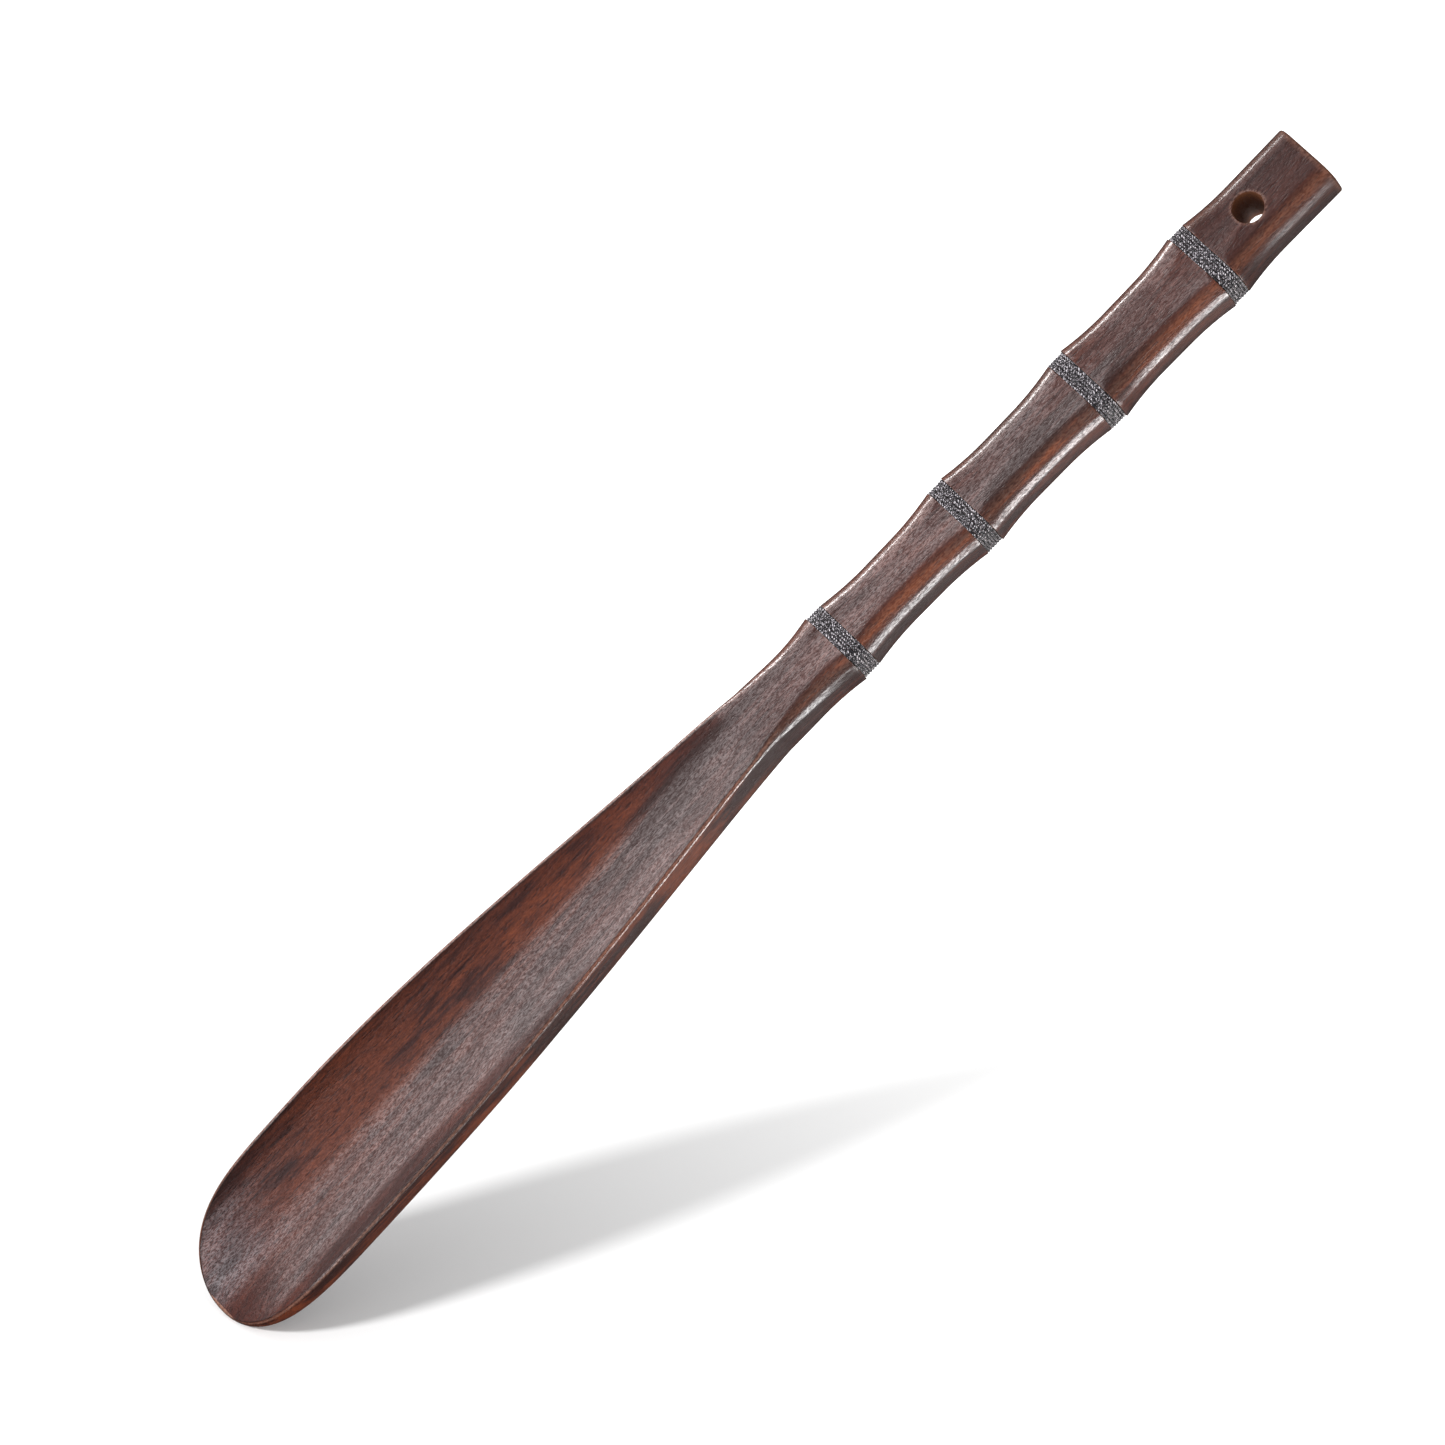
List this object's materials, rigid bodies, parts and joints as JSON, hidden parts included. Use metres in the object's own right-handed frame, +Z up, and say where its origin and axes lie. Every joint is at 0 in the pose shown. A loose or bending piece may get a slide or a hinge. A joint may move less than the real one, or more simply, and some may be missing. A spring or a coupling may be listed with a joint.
{
  "type": "long shoehorn",
  "caption": "Long wooden shoehorn carved from one piece: bamboo-style handle with cord bindings and a hanging hole, scooped blade with a round tip.",
  "frame": {"origin": "centre of the hanging hole, halfway through the handle's thickness", "axes": "+Z up along the handle towards its flat end, the hollow side of the blade faces -Y, X across the width"},
  "size_m": [0.039, 0.0201, 0.38],
  "materials": {
    "stained_wood": "dark red-brown stain under satin lacquer",
    "waxed_cord": "black waxed thread, tightly wound"
  },
  "bodies": {
    "root": {"wooden_body": "stained_wood", "cord_binding_1": "waxed_cord", "cord_binding_2": "waxed_cord", "cord_binding_3": "waxed_cord", "cord_binding_4": "waxed_cord"}
  },
  "joints": []
}
